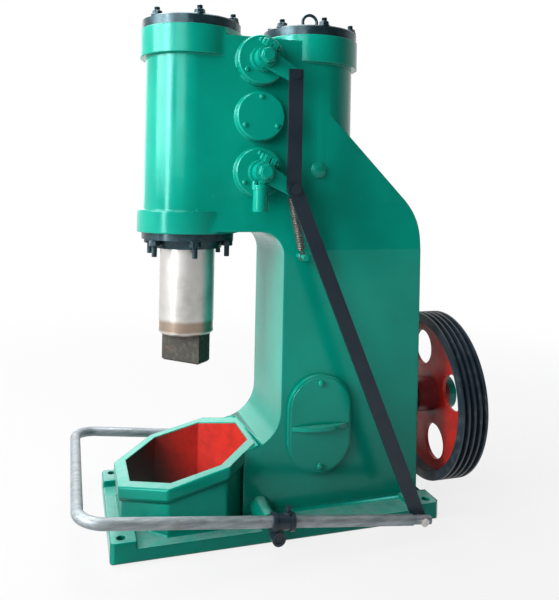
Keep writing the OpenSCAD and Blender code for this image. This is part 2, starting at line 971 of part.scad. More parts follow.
// A wire wound round the spring's axis, with a flat end at each side
module coil() {
  points = [for (i = [0:spring_n]) for (j = [0:spring_sides - 1]) coil_point(i, j)];
  last = spring_n * spring_sides;
  walls = [for (i = [0:spring_n - 1]) for (j = [0:spring_sides - 1])
    let (k = (j + 1) % spring_sides, a = i * spring_sides, b = a + spring_sides)
    for (f = [[a + j, b + k, b + j], [a + j, a + k, b + k]]) f];
  start = [for (j = [spring_sides - 1:-1:0]) j];
  end = [for (j = [0:spring_sides - 1]) last + j];
  polyhedron(points, concat([start], walls, [end]), convexity = 10);
}

// A ring round a pin, with a leg and a cap that closes the end of the coil
module hook(inner) {
  ring = inner / 2 + spring_wire / 2;
  rotate([0, 90, 0])
    rotate_extrude()
      translate([ring, 0])
        circle(d = spring_wire, $fn = 24);
  translate([0, 0, -hook_l])
    cylinder(h = hook_l - ring, d = spring_wire - gap);
  translate([0, 0, -hook_l])
    cylinder(h = spring_cap, d = spring_d - spring_wire);
}

module return_spring() {
  color([0.2, 0.2, 0.21])
    translate([spring_x, link_y, lower_link_z])
      rotate([spring_lean, 0, 0]) {
        coil();
        hook(pin_d + gap);
        translate([0, 0, -spring_l])
          rotate([180, 0, 0])
            hook(stud_d + gap);
      }
}

module spring_stud() {
  green() {
    x_rod(wall_x - root, stud_x, stud_y, stud_z, stud_d);
    x_rod(stud_x - head_t, stud_x, stud_y, stud_z, stud_d + 4 * gap);
  }
}

module wall_plug() {
  green() {
    x_rod(plug_x - root + gap, plug_x + gap, ram_y + plug_reach, plug_z, plug_shank_d);
    x_rod(plug_x, plug_x + head_t, ram_y + plug_reach, plug_z, plug_d);
  }
}

module crank_outline(w, h) {
  for (z = [crank_z - (h - w) / 2, crank_z + (h - w) / 2])
    translate([crank_y, z])
      circle(d = w);
  translate([crank_y - w / 2, crank_z - (h - w) / 2])
    square([w, h - w]);
}

module crank_plate() {
  between(wall_x, wall_x + crank_t - crank_bevel / 2)
    crank_outline(crank_w, crank_h);
  between(wall_x, wall_x + crank_t)
    crank_outline(crank_w - 2 * crank_bevel, crank_h - 2 * crank_bevel);
}

module crank_half(z0, z1) {
  intersection() {
    crank_plate();
    translate([wall_x - eps, crank_y - crank_w, z0])
      cube([2 * crank_t, 2 * crank_w, z1 - z0]);
  }
}

module crank_cover_upper() {
  green()
    crank_half(crank_z, crank_z + crank_h);
}

// The ledge is a slice of a disc, thickest in the middle
module crank_cover_lower() {
  chord = crank_w - 3 * crank_bevel;
  reach = ledge_out / 2 + chord * chord / (8 * ledge_out);
  green() {
    crank_half(crank_z - crank_h, crank_z);
    intersection() {
      translate([wall_x + crank_t + ledge_out - reach, crank_y, crank_z - ledge_t])
        cylinder(h = ledge_t, r = reach);
      translate([wall_x + crank_t / 2, crank_y - chord / 2, crank_z - ledge_t])
        cube([crank_w, chord, ledge_t]);
    }
  }
}

// Puts the treadle's own plane on the pivot: Y along the arms, Z square to them
module on_treadle() {
  translate([0, pivot_y, pivot_z + pivot_rise])
    rotate([-treadle_pitch, 0, 0])
      children();
}

module bar_along_y(x, y0, y1, d) {
  translate([x, y0, 0])
    rotate([-90, 0, 0])
      cylinder(h = y1 - y0, d = d);
}

module corner(x, turn) {
  translate([x, bend_r - front_l, 0])
    rotate([0, 0, turn])
      rotate_extrude(angle = 90)
        translate([bend_r, 0])
          circle(d = tube_d);
}

module treadle_bar() {
  color([0.45, 0.45, 0.44])
    difference() {
      on_treadle() {
        bar_along_y(arm_x, bend_r - front_l, rear_l - tongue_l, tube_d);
        bar_along_y(arm_x, rear_l - tongue_l - gap, rear_l, tongue_d);
        bar_along_y(-arm_x, bend_r - front_l, stub_l, tube_d);
        corner(arm_x - bend_r, -90);
        corner(bend_r - arm_x, 180);
        translate([bend_r - arm_x, -front_l, 0])
          rotate([0, 90, 0])
            cylinder(h = treadle_w - 2 * bend_r, d = tube_d);
      }
      x_rod(arm_x - tube_d, arm_x + tube_d, bolt_y, bolt_z, pin_d);
    }
}

module treadle_clamp(side) {
  x = side * arm_x;
  black()
    difference() {
      union() {
        on_treadle() {
          bar_along_y(x, clamp_y0, clamp_y1, clamp_d);
          bar_along_y(x, clamp_y0, clamp_y0 + collar_l, collar_d);
          bar_along_y(x, clamp_y1 - collar_l, clamp_y1, collar_d);
          translate([x, screw_y, 0])
            cylinder(h = screw_seat, d = 2 * screw_w);
        }
        x_rod(x - eye_l / 2, x + eye_l / 2, pivot_y, pivot_z, eye_d);
        translate([x - neck_w / 2, pivot_y - neck_w / 2, pivot_z])
          cube([neck_w, neck_w, pivot_rise]);
      }
      on_treadle()
        bar_along_y(x, clamp_y0 - eps, clamp_y1 + eps, tube_d);
      x_rod(x - eye_l, x + eye_l, pivot_y, pivot_z, pivot_d + 2 * run_fit);
    }
}

module treadle_clamp_right() {
  treadle_clamp(right);
}

module treadle_clamp_left() {
  treadle_clamp(left);
}

module clamp_screw(side) {
  black()
    on_treadle()
      translate([side * arm_x, screw_y, screw_seat]) {
        cylinder(h = head_t, d = screw_w - 2 * gap);
        translate([-screw_w / 2, -screw_w / 2, head_t])
          cube([screw_w, screw_w, screw_h]);
      }
}

module clamp_screw_right() {
  clamp_screw(right);
}

module clamp_screw_left() {
  clamp_screw(left);
}

module pivot_pin(side) {
  outer = arm_x + eye_l / 2 - 3 * gap;
  black()
    translate([side * wall_x, pivot_y, pivot_z])
      rotate([0, side * 90, 0])
        cylinder(h = outer - wall_x, d = pivot_d);
}

module pivot_pin_right() {
  pivot_pin(right);
}

module pivot_pin_left() {
  pivot_pin(left);
}

module treadle_link_bolt() {
  inner = bar_low_x - bar_t / 2 - gap;
  outer = arm_x + tongue_d / 2;
  steel() {
    x_rod(inner - head_t, outer + gap, bolt_y, bolt_z, pin_d);
    x_rod(outer, outer + head_t, bolt_y, bolt_z, pin_d + head_t);
    x_rod(inner - head_t, inner, bolt_y, bolt_z, pin_d + head_t);
  }
}

module bearing_cover() {
  green()
    difference() {
      union() {
        y_rod(back_y, bearing_face_y, shaft_z, bearing_d);
        y_rod(bearing_face_y - eps, bearing_face_y + bearing_neck_l, shaft_z, bearing_neck_d);
      }
      y_rod(back_y - eps, bearing_face_y + bearing_neck_l + eps, shaft_z, shaft_d + 2 * run_fit);
    }
}

module crankshaft() {
  steel()
    y_rod(back_y - pocket_l * 2 / 3, shaft_end_y, shaft_z, shaft_d);
}

// Half of the pulley, drawn as distance from the axis and place along it
module pulley_half() {
  r = pulley_d / 2;
  pitch = (pulley_w - groove_land) / grooves;
  inner = r - groove_h - rim_t;
  web_y = (pulley_w - web_t) / 2;
  difference() {
    translate([inner, 0])
      square([r - inner, pulley_w]);
    for (i = [0:grooves - 1])
      translate([0, groove_land / 2 + (i + 1 / 2) * pitch])
        polygon([[r + eps, (pitch - groove_land) / 2 + eps], [r - groove_h, groove_floor / 2],
          [r - groove_h, -groove_floor / 2], [r + eps, (groove_land - pitch) / 2 - eps]]);
  }
  translate([shaft_d / 2, web_y])
    square([inner - shaft_d / 2 + gap, web_t]);
  translate([shaft_d / 2, hub_front_y - pulley_y])
    square([(pulley_hub_d - shaft_d) / 2, pulley_w - hub_front_y + pulley_y]);
}

module pulley() {
  color([0.55, 0.08, 0.06])
    translate([0, pulley_y, shaft_z])
      rotate([-90, 0, 0])
        difference() {
          rotate_extrude($fn = 96)
            pulley_half();
          for (a = [0:90:270])
            rotate([0, 0, a - hole_turn])
              translate([web_hole_circle / 2, 0, 0])
                cylinder(h = pulley_w, d = web_hole_d);
        }
}

module pulley_nut() {
  green()
    difference() {
      y_rod(pulley_y + pulley_w, pulley_y + pulley_w + cap_nut_t, shaft_z, cap_nut_d);
      y_rod(pulley_y + pulley_w - eps, shaft_end_y, shaft_z, shaft_d);
    }
}

base_casting();
frame_casting();
ram_cylinder_cover();
pump_cylinder_cover();
lifting_ring();
gland_cover();
ram();
upper_die();
upper_valve_cover();
middle_cover();
lower_valve_cover();
upper_spindle();
lower_spindle();
upper_lever();
lower_lever();
hand_socket();
valve_link();
treadle_link();
upper_link_pin();
lower_link_pin();
return_spring();
spring_stud();
wall_plug();
crank_cover_upper();
crank_cover_lower();
treadle_bar();
treadle_clamp_right();
treadle_clamp_left();
pivot_pin_right();
pivot_pin_left();
clamp_screw_right();
clamp_screw_left();
treadle_link_bolt();
bearing_cover();
crankshaft();
pulley();
pulley_nut();
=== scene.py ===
"""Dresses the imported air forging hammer.

It makes the paint and steel finishes, the rounded castings, the studs, nuts, screws and
spring, and the stage.
"""

import math

import bmesh
import bpy
import numpy as np
from bpy.props import FloatProperty, FloatVectorProperty, IntProperty, PointerProperty
from mathutils import Matrix, Vector
from mathutils.bvhtree import BVHTree


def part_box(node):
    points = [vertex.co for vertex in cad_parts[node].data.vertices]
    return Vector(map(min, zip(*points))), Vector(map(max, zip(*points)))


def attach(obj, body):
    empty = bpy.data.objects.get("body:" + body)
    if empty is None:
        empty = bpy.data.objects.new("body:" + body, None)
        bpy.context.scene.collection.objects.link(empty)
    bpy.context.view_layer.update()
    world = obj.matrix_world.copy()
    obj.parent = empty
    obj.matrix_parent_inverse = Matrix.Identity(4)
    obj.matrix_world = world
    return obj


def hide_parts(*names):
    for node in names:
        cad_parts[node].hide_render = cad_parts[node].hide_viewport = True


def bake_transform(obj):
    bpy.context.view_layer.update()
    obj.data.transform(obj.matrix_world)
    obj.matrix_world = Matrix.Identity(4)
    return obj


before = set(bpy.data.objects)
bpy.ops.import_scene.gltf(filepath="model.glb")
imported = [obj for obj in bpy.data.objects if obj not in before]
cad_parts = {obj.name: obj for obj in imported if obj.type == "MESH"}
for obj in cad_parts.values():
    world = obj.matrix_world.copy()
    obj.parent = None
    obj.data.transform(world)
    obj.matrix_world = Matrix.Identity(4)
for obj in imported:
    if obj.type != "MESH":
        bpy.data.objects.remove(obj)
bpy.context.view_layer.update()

bl_info = {
    "name": "Air forging hammer",
    "version": (1, 0, 0),
    "blender": (4, 5, 0),
    "location": "View3D > Sidebar > Hammer",
    "description": "Finishes and small fittings of a C-frame air forging hammer",
    "category": "Object",
}

IMAGE_H = 600
SHIFT_X_PX = -2.1
SHIFT_Y_PX = -109.7
CAMERA_HEADING = math.radians(17.55)
CAMERA_ROLL = math.radians(1.11)
CAMERA_X = 1.8324
CAMERA_AHEAD = 0.3115
CAMERA_Z = 0.8915


def middle(node):
    """The middle of a node's box at rest."""
    low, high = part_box(node)
    return (low + high) / 2


RAM_AXIS = middle("gland_cover")
PUMP_AXIS = middle("pump_cylinder_cover")
BASE_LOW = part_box("base_casting")[0]
WELL_MID_Y = BASE_LOW.y + 0.212
WELL_HALF_W = 0.161
WELL_HALF_L = 0.156
WELL_CORNER = 0.225
JOINT_Y = BASE_LOW.y + 0.374
JOINT_Z = 0.212
RIM_SLOPE = 0.2493
RIM_LOW = 0.133
SLANT = 0.7071
GLAND_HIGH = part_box("gland_cover")[1]
PULLEY_MID = middle("pulley")
PULLEY_R = (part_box("pulley")[1].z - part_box("pulley")[0].z) / 2
RAM_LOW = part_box("ram")[0].z
ENAMEL_SPECULAR = 0.42
JOINT_GAP = 0.014
SHORT_EDGE = 0.0042
NARROW = 0.013
END_ROOM = 2.1
SHARP_FROM = math.radians(28)
SMOOTH_BELOW = math.radians(40)
FLAT_BELOW = math.radians(0.6)
FITTING_SMOOTH = math.radians(35)
MERGE = 2e-5
WELL_SLACK = 0.002


def colour(name, rgb, text):
    """A colour property with three channels from 0 to 1."""
    return FloatVectorProperty(
        name=name, description=text, subtype="COLOR", size=3, min=0, max=1, default=rgb
    )


def length(name, metres, text):
    """A length property in metres."""
    return FloatProperty(
        name=name, description=text, subtype="DISTANCE", unit="LENGTH", min=0, default=metres
    )


def power(name, amount, text, most=1000.0):
    """The power of a lamp or the strength of a light."""
    return FloatProperty(name=name, description=text, min=0, max=most, default=amount)


class HammerFinish(bpy.types.PropertyGroup):
    """Colours of the paint and the bare metal."""

    green: colour("Enamel", (0.0, 0.27, 0.195), "Gloss enamel on the casting and levers")
    green_deep: colour("Enamel shade", (0.0, 0.215, 0.155), "Thicker places in the enamel")
    # Painted shade: the colour that darkens the enamel low on the casting.
    green_painted_shade: colour("Low enamel", (0.0, 0.085, 0.06), "Painted shade low on the casting's enamel")
    red: colour("Red primer", (0.44, 0.0115, 0.0055), "Red paint in the well and on the pulley web")
    black: colour("Black paint", (0.0095, 0.0185, 0.0285), "Paint on the bars, covers and rim")
    steel: colour("Machined steel", (0.56, 0.55, 0.53), "Turned and ground steel")
    scale: colour("Forging scale", (0.033, 0.0315, 0.026), "Dark skin on the die")
    # Also the colour of the painted sheen of reflected sky on level enamel.
    dust: colour("Dust", (0.17, 0.265, 0.26), "Thin dust and painted sheen on level enamel")
    stain: colour("Heat stain", (0.24, 0.15, 0.085), "Brown stain on steel")
    soft_edge: length("Soft edges", 0.0055, "Rounding of the castings' edges under the enamel")
    thin_edge: length("Thin edges", 0.0016, "Rounding of the fittings' edges under the enamel")
    gleam_low: colour("Low gleam", (0.2, 0.8, 0.75), "Tint of what the base reflects")
    gleam: colour("Gleam", (0.47, 1.0, 1.0), "Tint of what the enamel reflects")


class HammerFittings(bpy.types.PropertyGroup):
    """Sizes of the small fittings."""

    stud_circle: length("Stud circle", 0.118, "Radius of the stud circle on the covers")
    stud_top: length("Stud height", 0.024, "Height of the studs over the covers")
    stud_r: length("Stud radius", 0.0075, "Radius of the studs")
    studs: IntProperty(name="Studs", description="Studs on each cover", min=3, max=12, default=6)
    gland_drop: length("Gland stud drop", 0.045, "How far the gland studs hang down")
    screw_circle: length("Screw circle", 0.05, "Radius of the screw circle on the valve covers")
    screw_r: length("Screw head radius", 0.0062, "Radius of the domed screw heads")
    plug_r: length("Plug radius", 0.0215, "Radius of the plug head on the frame's side")
    plug_h: length("Plug height", 0.0135, "Height of the plug head with its root in the wall")
    edge_r: length("Frame edges", 0.005, "Rounding of the edges of the frame")
    base_edge_r: length("Base edges", 0.0065, "Rounding of the edges of the base")
    spring_turns: IntProperty(
        name="Turns", description="Turns of the spring", min=6, max=60, default=34
    )
    spring_r: length("Spring radius", 0.0096, "Radius on the middle of the wire")
    spring_wire: length("Wire radius", 0.0017, "Radius of the spring wire")


class HammerStage(bpy.types.PropertyGroup):
    """Light and camera."""

    key: power("Key", 206, "Power of the front window light")
    strip: power("Strip", 50, "Power of the narrow front light")
    back: power("Back", 24, "Power of the window behind")
    fill: power("Fill", 38, "Power of the light beside the camera")
    top: power("Top", 142, "Power of the overhead light")
    world: power("World", 0.12, "Strength of the even light")
    dim: power("Dim side", 0.1, "Reflected brightness of the lever side")
    floor: colour("Floor", (0.36, 0.36, 0.36), "Floor under its white glow")
    glow: power("Floor glow", 0.82, "White seen on the floor", 1.0)
    lens: FloatProperty(
        name="Lens", description="Focal length", unit="CAMERA", min=1, default=40.16
    )


def turned(profile, steps):
    """A profile of (radius, height) pairs turned about Z: x = r cos t, y = r sin t, z = h."""
    line = np.asarray(profile, float)
    t = np.linspace(0, 2 * np.pi, steps, endpoint=False)[:, None]
    r = line[None, :, 0]
    h = np.broadcast_to(line[None, :, 1], (steps, len(line)))
    return np.stack([r * np.cos(t), r * np.sin(t), h], -1)


def hexed(profile, steps, flats):
    """A turned profile whose radius is divided by cos of the angle to the nearest flat.

    flats gives, for each point of the profile, how much of the six flats shows, from 0 to 1.
    """
    line = np.asarray(profile, float)
    share = np.asarray(flats, float)[None, :]
    t = np.linspace(0, 2 * np.pi, steps, endpoint=False)[:, None]
    corner = 1 / np.cos((t + np.pi / 6) % (np.pi / 3) - np.pi / 6)
    r = line[None, :, 0] * (1 + share * (corner - 1))
    h = np.broadcast_to(line[None, :, 1], r.shape)
    return np.stack([r * np.cos(t), r * np.sin(t), h], -1)


def carried(path, radius, sides):
    """A circle carried along a path.

    Each ring lies square to the path, and starts at the cross product of the path with one
    fixed direction.
    """
    p = np.asarray(path, float)
    tangent = np.gradient(p, axis=0)
    tangent /= np.linalg.norm(tangent, axis=1)[:, None]
    axis = np.array([0.36, 0.48, 0.8])
    side = np.cross(tangent, axis)
    side /= np.linalg.norm(side, axis=1)[:, None]
    over = np.cross(tangent, side)
    t = np.linspace(0, 2 * np.pi, sides, endpoint=False)
    ring = np.cos(t)[None, :, None] * side[:, None] + np.sin(t)[None, :, None] * over[:, None]
    return np.swapaxes(p[:, None] + radius * ring, 0, 1)


def placed(grid, frames):
    """Copies of a grid, one for each 4 by 4 frame, as one array of grids."""
    m = np.asarray([np.array(f) for f in frames], float)
    flat = grid.reshape(-1, 3)
    moved = np.einsum("fij,pj->fpi", m[:, :3, :3], flat) + m[:, None, :3, 3]
    return moved.reshape((len(frames),) + grid.shape)


def grid_piece(name, grids, body, material):
    """A piece made of quads between neighbouring points of each grid.

    Each grid is closed round its first direction and capped at both ends.
    """
    stack = grids if grids.ndim == 4 else grids[None]
    copies, steps, rings, _ = stack.shape
    i = np.arange(steps)[:, None]
    j = np.arange(rings - 1)[None, :]
    a = i * rings + j
    b = ((i + 1) % steps) * rings + j
    one = np.stack([a, b, b + 1, a + 1], -1).reshape(-1, 4)
    step = np.arange(copies)[:, None, None] * steps * rings
    quads = (one[None] + step).reshape(-1, 4)
    first = (np.arange(steps)[::-1] * rings)[None] + np.arange(copies)[:, None] * steps * rings
    last = (np.arange(steps) * rings + rings - 1)[None] + np.arange(copies)[:, None] * steps * rings
    faces = quads.tolist() + first.tolist() + last.tolist()
    mesh = bpy.data.meshes.new(name)
    mesh.from_pydata(stack.reshape(-1, 3).tolist(), [], faces)
    work = bmesh.new()
    work.from_mesh(mesh)
    bmesh.ops.remove_doubles(work, verts=work.verts, dist=1e-6)
    bmesh.ops.recalc_face_normals(work, faces=work.faces)
    work.to_mesh(mesh)
    work.free()
    mesh.materials.append(material)
    mesh.shade_smooth()
    mesh.set_sharp_from_angle(angle=FITTING_SMOOTH)
    piece = bpy.data.objects.new(name, mesh)
    bpy.context.scene.collection.objects.link(piece)
    if body:
        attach(piece, body)
    return piece


class Finish:
    """A material with one Principled shader and nodes that read Object coordinates."""

    def __init__(self, name):
        self.material = bpy.data.materials.new(name)
        self.material.use_nodes = True
        self.tree = self.material.node_tree
        self.shader = self.tree.nodes["Principled BSDF"]
        self.place = self.add("ShaderNodeTexCoord").outputs["Object"]

    def add(self, kind, **settings):
        """A new node with its settings."""
        made = self.tree.nodes.new(kind)
        for key, value in settings.items():
            setattr(made, key, value)
        return made

    def put(self, socket, value):
        """Links a socket to another, or sets its number or colour."""
        if isinstance(value, bpy.types.NodeSocket):
            self.tree.links.new(value, socket)
        else:
            socket.default_value = value

    def set(self, **values):
        """Sets the shader's own sockets, named with _ for a space."""
        for key, value in values.items():
            self.put(self.shader.inputs[key.replace("_", " ")], value)

    def maths(self, kind, a, b=0.0, clamp=False):
        """One step of arithmetic."""
        made = self.add("ShaderNodeMath", operation=kind, use_clamp=clamp)
        self.put(made.inputs[0], a)
        self.put(made.inputs[1], b)
        return made.outputs[0]

    def part(self, channel):
        """One coordinate of the place."""
        return self.add_split().outputs[channel]

    def add_split(self):
        """The place split into its three coordinates."""
        made = self.add("ShaderNodeSeparateXYZ")
        self.put(made.inputs[0], self.place)
        return made

    def facing_up(self):
        """How far the surface faces up, from -1 to 1."""
        made = self.add("ShaderNodeSeparateXYZ")
        self.put(made.inputs[0], self.add("ShaderNodeNewGeometry").outputs["Normal"])
        return made.outputs["Z"]

    def stretched(self, scale):
        """The place with each coordinate times its own scale."""
        made = self.add("ShaderNodeMapping")
        self.put(made.inputs["Vector"], self.place)
        made.inputs["Scale"].default_value = scale
        return made.outputs[0]

    def noise(self, scale, detail=3.0, rough=0.5, place=None):
        """Cloudy noise from 0 to 1."""
        made = self.add("ShaderNodeTexNoise")
        self.put(made.inputs["Vector"], place or self.place)
        made.inputs["Scale"].default_value = scale
        made.inputs["Detail"].default_value = detail
        made.inputs["Roughness"].default_value = rough
        return made.outputs["Fac"]

    def span(self, value, low, high, to_low=0.0, to_high=1.0):
        """A smooth step from one number to another while a value goes from low to high."""
        made = self.add("ShaderNodeMapRange", clamp=True, interpolation_type="SMOOTHSTEP")
        self.put(made.inputs[0], value)
        for socket, number in zip(made.inputs[1:5], (low, high, to_low, to_high)):
            socket.default_value = number
        return made.outputs[0]

    def blend(self, share, first, second):
        """Two colours mixed by a share."""
        made = self.add("ShaderNodeMix", data_type="RGBA")
        self.put(made.inputs["Factor"], share)
        for name, value in (("A", first), ("B", second)):
            socket = next(s for s in made.inputs if s.name == name and s.type == "RGBA")
            self.put(socket, value if isinstance(value, bpy.types.NodeSocket) else (*value, 1))
        return next(s for s in made.outputs if s.type == "RGBA")

    def off_joint(self, size):
        """A size that falls to nothing along the line where the rim runs into the throat."""
        split = self.add_split()
        near = []
        for side, at in (("Y", JOINT_Y), ("Z", JOINT_Z)):
            away = self.maths("ABSOLUTE", self.maths("SUBTRACT", split.outputs[side], at))
            near.append(self.span(away, 0.016, 0.036, 1.0, 0.0))
        clear = self.maths("SUBTRACT", 1.0, self.maths("MULTIPLY", *near))
        return self.maths("MULTIPLY", clear, size)

    def bump(self, height, strength, distance, soft_edge=None):
        """Relief from a height, on edges that are softened by a radius."""
        made = self.add("ShaderNodeBump")
        if soft_edge is not None:
            rounded = self.add("ShaderNodeBevel", samples=8)
            self.put(rounded.inputs["Radius"], soft_edge)
            self.put(made.inputs["Normal"], rounded.outputs[0])
        made.inputs["Strength"].default_value = strength
        made.inputs["Distance"].default_value = distance
        self.put(made.inputs["Height"], height)
        self.put(self.shader.inputs["Normal"], made.outputs[0])


def enamel(f, colours):
    """Gloss enamel, as a colour and a roughness.

    The shade changes slowly, worn specks are scattered over it, dust with a painted sheen of
    reflected sky lies on level faces, and painted shade darkens the other faces towards the
    floor.
    """
    low = f.span(f.part("Z"), 0.0, 0.16, 1.0, 0.0)
    shade = f.span(f.noise(4.0, 4.0), 0.35, 0.7)
    coat = f.blend(shade, colours.green, colours.green_deep)
    specks = f.span(f.noise(60.0, 5.0, 0.65), 0.66, 0.74)
    worn = f.maths("MULTIPLY", specks, 0.35)
    coat = f.blend(worn, coat, (0.02, 0.36, 0.28))
    dust = f.maths("MULTIPLY", low, f.span(f.noise(22.0, 5.0, 0.6), 0.42, 0.75), True)
    coat = f.blend(f.maths("MULTIPLY", dust, 0.45), coat, (0.02, 0.1, 0.08))
    level = f.span(f.facing_up(), 0.8, 0.97)
    # Painted reflection with dust: level faces are paled in cloudy patches, more so towards the
    # floor.
    dust_and_sheen = f.maths("MULTIPLY", level, f.span(f.noise(30.0, 5.0, 0.6), 0.3, 0.75, 0.1, 0.26))
    dust_and_sheen = f.maths("MULTIPLY", dust_and_sheen, f.span(f.part("Z"), 0.04, 0.3, 2.4, 1.0))
    coat = f.blend(dust_and_sheen, coat, colours.dust)
    # Painted shade: faces that don't face up are darkened towards the floor.
    low_shade = f.span(f.part("Z"), 0.02, 0.5, 0.66, 0.0)
    low_shade = f.maths("MULTIPLY", low_shade, f.maths("SUBTRACT", 1.0, level))
    coat = f.blend(low_shade, coat, colours.green_painted_shade)
    rough = f.span(f.noise(9.0, 3.0), 0.3, 0.75, 0.15, 0.27)
    return coat, rough


def enamel_skin(f):
    """Height of the enamel skin: castings ripple at 8 mm, and a finer orange peel lies over it."""
    ripple = f.maths("MULTIPLY", f.noise(120.0, 2.0, 0.4), 0.7)
    peel = f.maths("MULTIPLY", f.noise(520.0, 2.0), 0.3)
    return f.maths("ADD", ripple, peel)


def green_finish(colours, name, soft_edge):
    """Green enamel whose thick coat softens the edges by a radius."""
    f = Finish(name)
    coat, rough = enamel(f, colours)
    f.set(Base_Color=coat, Roughness=rough)
    f.set(Specular_IOR_Level=ENAMEL_SPECULAR, Specular_Tint=(*colours.gleam, 1))
    f.bump(enamel_skin(f), 0.22, 0.0012, f.off_joint(soft_edge))
    return f.material


def casting_finish(colours):
    """Green enamel, red paint on the well's inner walls, and painted shade low at the well's front.

    The inner walls are where the place lies on or inside the well's octagon and below the
    sloping rim.
    """
    f = Finish("casting_enamel")
    coat, rough = enamel(f, colours)
    split = f.add_split()
    x = f.maths("ABSOLUTE", split.outputs["X"])
    y = f.maths("ABSOLUTE", f.maths("SUBTRACT", split.outputs["Y"], WELL_MID_Y))
    side = f.maths("SUBTRACT", x, WELL_HALF_W)
    end = f.maths("SUBTRACT", y, WELL_HALF_L)
    slant = f.maths("MULTIPLY", f.maths("SUBTRACT", f.maths("ADD", x, y), WELL_CORNER), SLANT)
    out = f.maths("MAXIMUM", f.maths("MAXIMUM", side, end), slant)
    inside = f.span(out, 0.0004, 0.0012, 1.0, 0.0)
    back = f.maths("SUBTRACT", split.outputs["Y"], WELL_MID_Y - WELL_HALF_L)
    rise = f.maths("MULTIPLY", back, RIM_SLOPE)
    edge = f.maths("SUBTRACT", f.maths("SUBTRACT", split.outputs["Z"], rise), RIM_LOW)
    below = f.span(edge, -0.004, -0.0015, 1.0, 0.0)
    red_share = f.maths("MULTIPLY", inside, below)
    grain = f.span(f.noise(34.0, 5.0, 0.6), 0.38, 0.72)
    red = f.blend(grain, colours.red, [c * 0.72 for c in colours.red])
    # Painted shade: the red darkens towards the front of the well and further below the rim.
    slope = f.maths("ADD", split.outputs["Y"], f.maths("MULTIPLY", edge, 0.4))
    well_shade = f.span(slope, WELL_MID_Y - 0.125, WELL_MID_Y + 0.045, 1.0, 0.03)
    red = f.blend(well_shade, red, (0.016, 0.0035, 0.003))
    f.set(Base_Color=f.blend(red_share, coat, red))
    f.set(Specular_IOR_Level=ENAMEL_SPECULAR, Specular_Tint=(*colours.gleam_low, 1))
    f.set(Roughness=f.maths("ADD", rough, f.maths("MULTIPLY", red_share, 0.45)))
    f.bump(enamel_skin(f), 0.25, 0.0012, f.off_joint(colours.soft_edge))
    return f.material


def black_finish(colours):
    """Black paint with a blue cast, a fine grain and dusty scuffs."""
    f = Finish("black_paint")
    scuff = f.span(f.noise(26.0, 6.0, 0.65), 0.58, 0.8)
    base = f.blend(f.maths("MULTIPLY", scuff, 0.35), colours.black, (0.05, 0.055, 0.06))
    rough = f.span(f.noise(14.0), 0.3, 0.7, 0.34, 0.52)
    f.set(Base_Color=base, Roughness=rough, Specular_IOR_Level=0.34)
    f.bump(f.noise(260.0, 3.0), 0.15, 0.0008)
    return f.material


def cover_finish():
    """Turned cast covers in thin dark paint; cloudy blue-grey patches are rubbed paint and painted
    reflection.
    """
    f = Finish("cover_paint")
    # Painted reflection with wear: the cloudy patches are tinted blue-teal like the covers'
    # reflected sheen.
    rub_and_sheen = f.span(f.noise(18.0, 6.0, 0.7), 0.4, 0.7)
    base = f.blend(f.maths("MULTIPLY", rub_and_sheen, 0.4), (0.011, 0.032, 0.042), (0.045, 0.125, 0.145))
    f.set(Base_Color=base, Metallic=0.5, Roughness=f.span(f.noise(30.0), 0.3, 0.7, 0.2, 0.36))
    f.bump(f.noise(300.0, 3.0), 0.12, 0.0006)
    return f.material


def steel_finish(colours):
    """Machined steel with cloudy darker patches and a fine grain."""
    f = Finish("bright_steel")
    tone = f.span(f.noise(40.0, 5.0, 0.6), 0.35, 0.7)
    base = f.blend(tone, colours.steel, [c * 0.62 for c in colours.steel])
    f.set(Base_Color=base, Metallic=1.0, Roughness=f.span(f.noise(70.0), 0.3, 0.7, 0.26, 0.44))
    f.bump(f.noise(420.0, 3.0), 0.1, 0.0004)
    return f.material


def ram_finish(colours):
    """Ground steel: fine rings round the ram, and a brown band above its lower end."""
    f = Finish("ram_steel")
    rings = f.noise(1.0, 3.0, 0.6, f.stretched((2.0, 2.0, 900.0)))
    smear = f.span(f.noise(11.0, 5.0, 0.62), 0.46, 0.72)
    base = f.blend(smear, colours.steel, [c * 0.74 for c in colours.steel])
    wander = f.maths("MULTIPLY", f.maths("SUBTRACT", f.noise(16.0, 4.0), 0.5), 0.012)
    z = f.maths("ADD", f.part("Z"), wander)
    up = f.span(z, RAM_LOW + 0.004, RAM_LOW + 0.012)
    down = f.span(z, RAM_LOW + 0.03, RAM_LOW + 0.044, 1.0, 0.0)
    band = f.maths("MULTIPLY", f.maths("MULTIPLY", up, down), 0.75)
    foot = f.span(z, RAM_LOW, RAM_LOW + 0.006, 0.7, 0.0)
    base = f.blend(f.maths("MAXIMUM", band, foot), base, colours.stain)
    f.set(Base_Color=base, Metallic=0.9, Roughness=f.span(rings, 0.25, 0.75, 0.28, 0.42))
    f.bump(rings, 0.08, 0.0004)
    return f.material


def die_finish(colours):
    """Forged die: dark scale with paler grains and rusty patches."""
    f = Finish("die_scale")
    spots = f.span(f.noise(90.0, 6.0, 0.7), 0.45, 0.7)
    base = f.blend(spots, colours.scale, [c * 1.9 for c in colours.scale])
    rust = f.span(f.noise(24.0, 5.0, 0.6), 0.55, 0.8)
    base = f.blend(f.maths("MULTIPLY", rust, 0.45), base, (0.15, 0.085, 0.045))
    f.set(Base_Color=base, Metallic=0.35, Roughness=f.span(spots, 0.0, 1.0, 0.62, 0.45))
    f.bump(f.noise(210.0, 6.0, 0.7), 0.4, 0.001)
    return f.material


